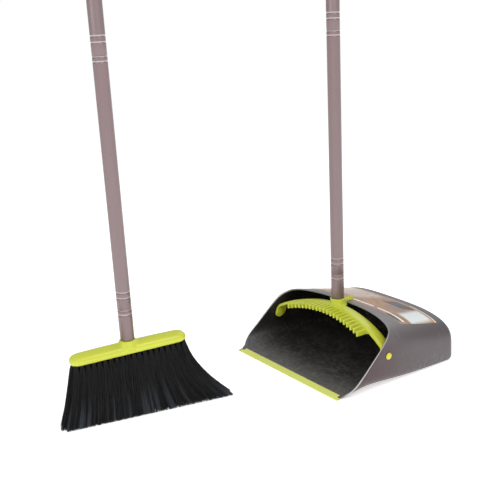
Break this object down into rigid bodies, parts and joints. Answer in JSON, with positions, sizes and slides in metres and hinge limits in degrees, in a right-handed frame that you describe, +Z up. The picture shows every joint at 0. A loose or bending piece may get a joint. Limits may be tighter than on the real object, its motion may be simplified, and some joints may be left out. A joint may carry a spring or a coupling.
{
  "type": "dust pan and broom set",
  "caption": "Upright hooded dust pan with a comb yoke and swinging tube handle, and a long-handled angled broom with splayed bristles.",
  "frame": {"origin": "middle of the dust pan's flat base, on the floor", "axes": "+X along the pan's lip, +Y from the open mouth to the back, +Z up"},
  "size_m": [0.3054, 0.64, 1.346],
  "materials": {
    "pan_grey": "satin moulded polypropylene, dark inside",
    "lip_lime": "soft overmoulded edge, satin",
    "lime_plastic": "semi-gloss moulded plastic",
    "label_film": "printed film, slight sheen",
    "handle_tube": "metallic silver coating, satin",
    "coupler_black": "matt moulded plastic",
    "cap_lime": "semi-gloss moulded plastic",
    "bristle_black": "crimped nylon filament",
    "anchor_wire": "flat galvanised wire"
  },
  "bodies": {
    "pan": {"pan_shell": "pan_grey", "front_lip": "lip_lime", "hood_label": "label_film"},
    "handle": {"yoke_arch": "lime_plastic", "yoke_collar": "lime_plastic", "comb_teeth": "lime_plastic", "left_pivot_pin": "lime_plastic", "right_pivot_pin": "lime_plastic", "pan_stub_tube": "handle_tube", "pan_lower_tube": "handle_tube", "pan_upper_tube": "handle_tube", "pan_foot_plug": "coupler_black", "pan_male_coupler_1": "coupler_black", "pan_male_coupler_2": "coupler_black", "pan_female_coupler_1": "coupler_black", "pan_female_coupler_2": "coupler_black", "pan_hang_cap": "cap_lime"},
    "broom": {"broom_head": "lime_plastic", "bristle_row_1": "bristle_black", "bristle_row_2": "bristle_black", "bristle_row_3": "bristle_black", "bristle_row_4": "bristle_black", "tuft_anchors": "anchor_wire", "broom_stub_tube": "handle_tube", "broom_lower_tube": "handle_tube", "broom_middle_tube": "handle_tube", "broom_upper_tube": "handle_tube", "broom_foot_plug": "coupler_black", "broom_male_coupler_1": "coupler_black", "broom_male_coupler_2": "coupler_black", "broom_male_coupler_3": "coupler_black", "broom_female_coupler_1": "coupler_black", "broom_female_coupler_2": "coupler_black", "broom_female_coupler_3": "coupler_black", "broom_hang_cap": "cap_lime"}
  },
  "joints": [
    {"name": "handle_swing", "type": "hinge", "parent": "pan", "child": "handle", "pos_m": [0, -0.0294, 0.0515], "axis": [1, 0, 0], "range_deg": [0, 72]},
    {"name": "broom_lift", "type": "slide", "parent": "pan", "child": "broom", "axis": [0, 0, 1], "range_m": [0, 0.25]}
  ]
}
